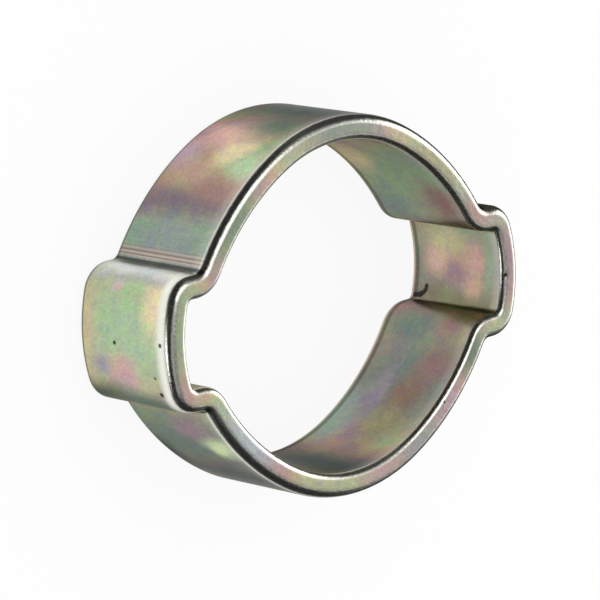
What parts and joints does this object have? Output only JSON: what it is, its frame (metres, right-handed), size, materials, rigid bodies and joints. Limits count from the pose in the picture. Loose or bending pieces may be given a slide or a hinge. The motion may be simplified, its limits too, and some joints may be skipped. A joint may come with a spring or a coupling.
{
  "type": "ear hose clamp",
  "caption": "Zinc-plated steel hose clamp made as one closed ring of flat band, with an ear on each side that pincers squeeze to close it.",
  "frame": {"origin": "middle of the lower end face, on the hose's axis", "axes": "+Z along the hose and up from the end face it lies on, +X from the left ear to the right one, +Y across the ears"},
  "size_m": [0.0292, 0.023, 0.0079],
  "materials": {
    "zinc_plated_band": "zinc plate with a satin yellow and green iridescent passivation"
  },
  "bodies": {
    "root": {"clamp_ring": "zinc_plated_band"}
  },
  "joints": []
}
